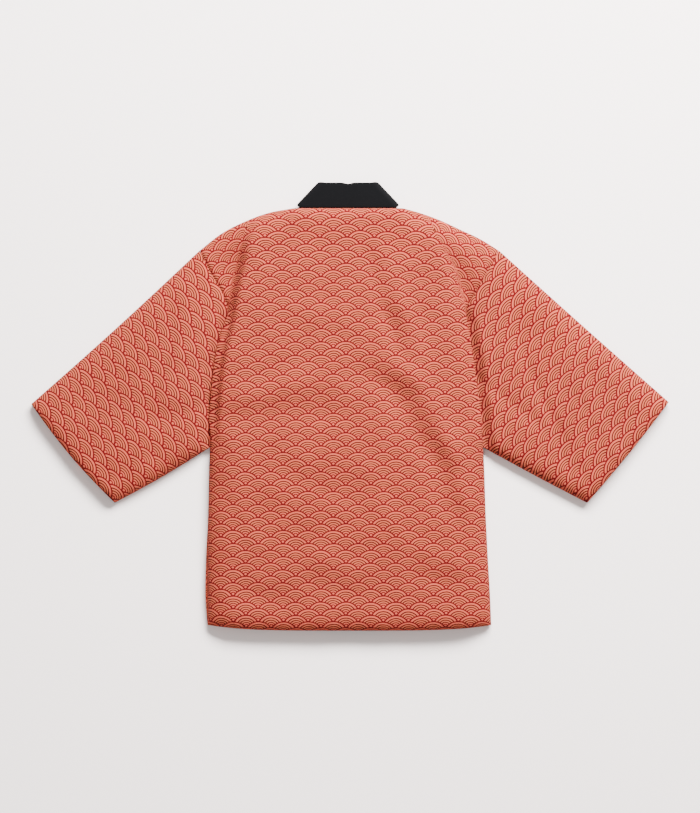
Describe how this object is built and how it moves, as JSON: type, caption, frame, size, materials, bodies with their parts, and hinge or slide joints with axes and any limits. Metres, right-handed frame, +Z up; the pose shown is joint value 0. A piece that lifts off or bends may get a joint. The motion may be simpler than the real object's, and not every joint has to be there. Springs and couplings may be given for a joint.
{
  "type": "padded kimono jacket",
  "caption": "Short padded kimono jacket laid flat on its front, with wide straight sleeves, a black band collar and a red wave print.",
  "frame": {"origin": "on the surface it lies on, under the middle of the laid-out outline", "axes": "+Z up out of the wearer's back, +Y towards the collar, +X towards the wearer's right sleeve"},
  "size_m": [1.122, 0.7886, 0.0391],
  "materials": {
    "wave_cotton": "matt printed cotton, soft from wear",
    "collar_cotton": "matt black cotton, close weave"
  },
  "bodies": {
    "root": {"back": "wave_cotton", "front_left": "wave_cotton", "front_right": "wave_cotton", "sleeve_left": "wave_cotton", "sleeve_right": "wave_cotton", "collar": "collar_cotton"}
  },
  "joints": []
}
